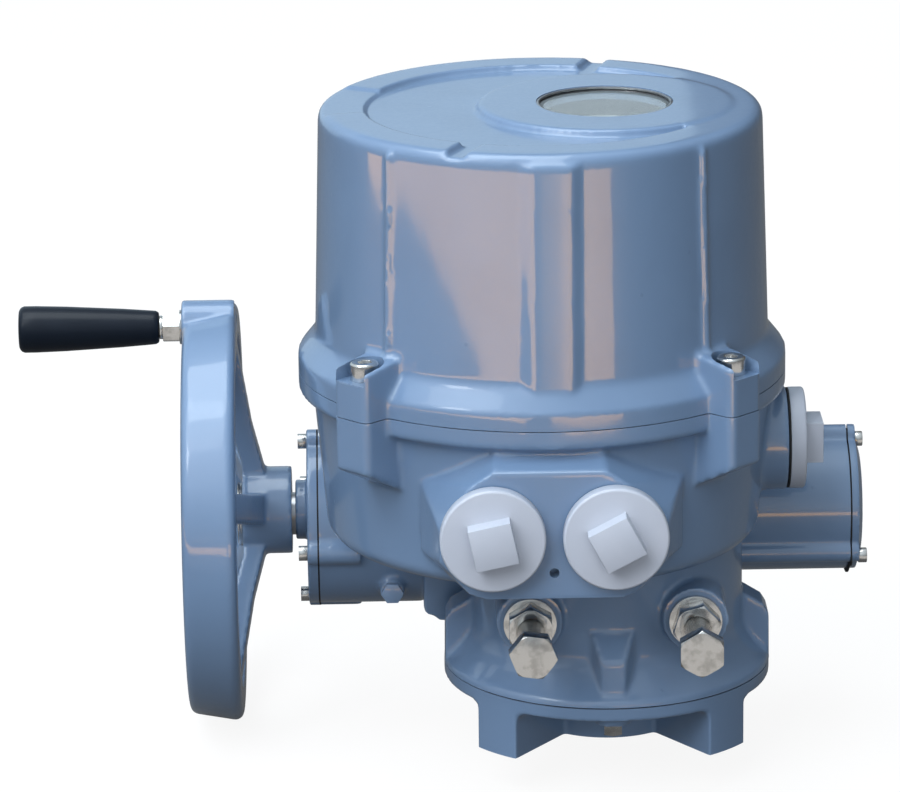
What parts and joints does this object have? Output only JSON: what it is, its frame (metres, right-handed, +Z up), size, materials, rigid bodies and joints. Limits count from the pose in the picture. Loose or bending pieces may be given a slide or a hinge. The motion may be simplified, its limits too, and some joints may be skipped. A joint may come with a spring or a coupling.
{
  "type": "electric valve actuator",
  "caption": "Quarter-turn electric valve actuator: round cover with a sight glass, worm gear housing, side handwheel with a turning grip, travel stop bolts and a footed mounting base.",
  "frame": {"origin": "on the output axis, in the plane of the four mounting feet", "axes": "+Z up along the output axis, +Y to the back, +X to the right as seen from the cable plugs; the handwheel is on the -X side"},
  "size_m": [0.3937, 0.2929, 0.3098],
  "materials": {
    "paint": "glossy blue-grey enamel",
    "plug_plastic": "satin light grey",
    "zinc_steel": "zinc plated",
    "machined_steel": "machined",
    "bronze": "machined bronze",
    "copper": "lacquered copper",
    "rubber": "matt black",
    "glass": "clear",
    "black_plastic": "satin black",
    "ivory_plastic": "matt ivory",
    "sheet_aluminium": "brushed",
    "green_plastic": "matt green"
  },
  "bodies": {
    "housing": {"gear_housing": "paint", "base_flange": "paint", "top_cover": "paint", "gear_case_cover": "paint", "motor_end_cover": "paint", "grease_plug": "paint", "cable_plug_left": "plug_plastic", "cable_plug_right": "plug_plastic", "cable_plug_side": "plug_plastic", "base_bolts": "zinc_steel", "cover_screws": "zinc_steel", "gear_case_screws": "zinc_steel", "motor_screws": "zinc_steel", "stop_bolt_left": "zinc_steel", "stop_bolt_right": "zinc_steel", "stop_nuts": "zinc_steel", "stop_washers": "zinc_steel", "plate_posts": "zinc_steel", "board_posts": "zinc_steel", "worm_bearings": "machined_steel", "rotor_bearings": "machined_steel", "motor_stator": "machined_steel", "window_ring": "machined_steel", "lower_bush": "bronze", "upper_bush": "bronze", "motor_windings": "copper", "base_gasket": "rubber", "cover_seal": "rubber", "window_seal": "rubber", "gear_case_gasket": "rubber", "shaft_seal": "rubber", "motor_gasket": "rubber", "plug_seals": "rubber", "window_glass": "glass", "limit_switches": "black_plastic", "mounting_plate": "sheet_aluminium", "space_heater": "sheet_aluminium", "run_capacitor": "sheet_aluminium", "terminal_block": "green_plastic", "circuit_board": "green_plastic"},
    "output_drive": {"drive_sleeve": "machined_steel", "worm_wheel_rim": "bronze", "stop_cam": "machined_steel", "indicator_shaft": "machined_steel", "switch_cams": "ivory_plastic", "indicator_disc": "ivory_plastic"},
    "worm_line": {"worm_shaft": "machined_steel", "handwheel": "paint", "handwheel_key": "machined_steel", "hub_washer": "zinc_steel", "hub_screw": "zinc_steel", "grip_spindle": "zinc_steel", "grip_nut": "zinc_steel"},
    "grip": {"grip": "black_plastic"},
    "rotor": {"motor_rotor": "machined_steel"}
  },
  "joints": [
    {"name": "handwheel_turn", "type": "hinge", "parent": "housing", "child": "worm_line", "pos_m": [0, 0.062, 0.0795], "axis": [1, 0, 0], "range_deg": [0, 2880]},
    {"name": "output_turn", "type": "hinge", "parent": "housing", "child": "output_drive", "pos_m": [0, 0, 0], "axis": [0, 0, 1], "range_deg": [0, 90]},
    {"name": "grip_spin", "type": "hinge", "parent": "worm_line", "child": "grip", "pos_m": [-0.24, 0.062, 0.1715], "axis": [1, 0, 0], "continuous": true},
    {"name": "rotor_spin", "type": "hinge", "parent": "housing", "child": "rotor", "pos_m": [0.087, 0.062, 0.0795], "axis": [1, 0, 0], "continuous": true}
  ],
  "couplings": [
    {"joint": "output_turn", "follows": "handwheel_turn", "ratio": 0.03125}
  ]
}
